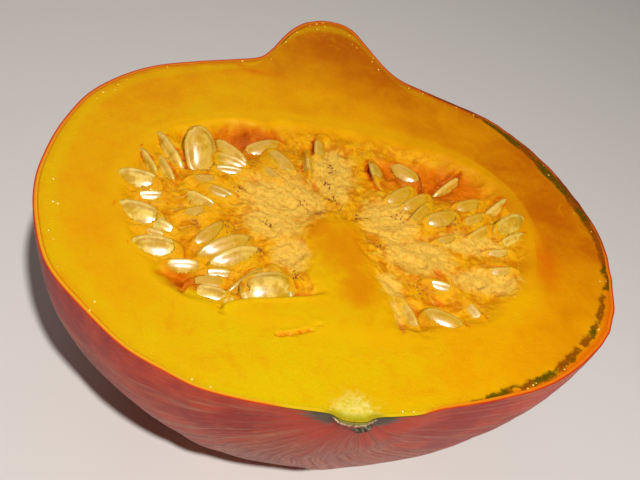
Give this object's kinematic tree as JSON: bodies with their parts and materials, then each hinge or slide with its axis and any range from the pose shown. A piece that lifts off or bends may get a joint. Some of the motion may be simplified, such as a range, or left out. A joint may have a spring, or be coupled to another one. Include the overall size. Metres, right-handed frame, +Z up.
{
  "type": "halved winter squash",
  "caption": "Half of a red winter squash with a short neck, cut lengthwise, showing thick yellow flesh, fibrous pulp and seeds.",
  "frame": {"origin": "middle of the flat spot on the skin that the half rests on", "axes": "+Z up, square to the cut face; +Y along the fruit's axis, from the blossom scar towards the neck; +X across"},
  "size_m": [0.2091, 0.2028, 0.1063],
  "materials": {
    "rind": "thin waxy skin, orange-red with a faint purple-grey bloom",
    "flesh": "moist, smooth knife cut, yellow to deep orange",
    "pulp": "moist stringy fibres, peach to amber",
    "seeds": "wet and glossy, cream to tan"
  },
  "bodies": {
    "root": {"rind": "rind", "flesh": "flesh", "pulp_and_seeds": "pulp"}
  },
  "joints": []
}
